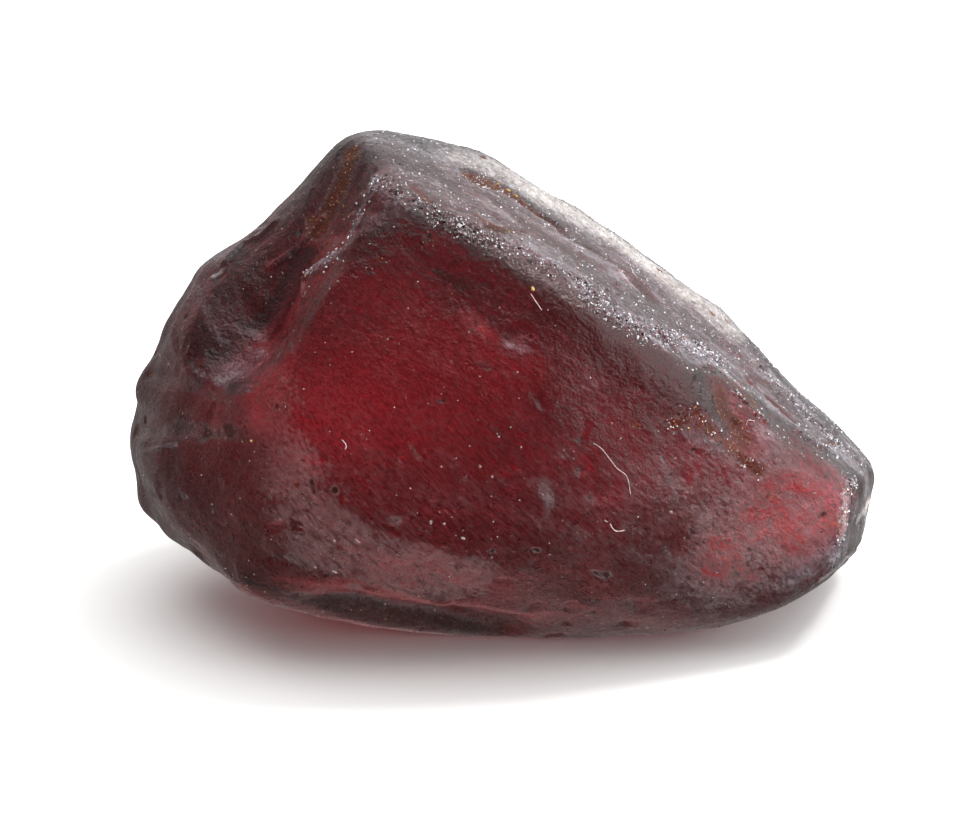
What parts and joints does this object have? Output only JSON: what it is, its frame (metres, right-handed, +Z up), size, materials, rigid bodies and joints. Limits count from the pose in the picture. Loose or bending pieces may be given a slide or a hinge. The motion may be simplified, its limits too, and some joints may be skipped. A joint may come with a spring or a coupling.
{
  "type": "rough zircon",
  "caption": "Water-worn rough zircon crystal fragment, dark red and translucent, with a blunt end, a pointed end and a worn flat to lie on.",
  "frame": {"origin": "on the surface it rests on, below the middle of its bounding box", "axes": "+X from the blunt end to the pointed end, +Z up; the broad red face looks to -Y"},
  "size_m": [0.0144, 0.0088, 0.0091],
  "materials": {
    "zircon": "frosted, water-worn crystal skin, translucent dark red"
  },
  "bodies": {
    "root": {"zircon": "zircon"}
  },
  "joints": []
}
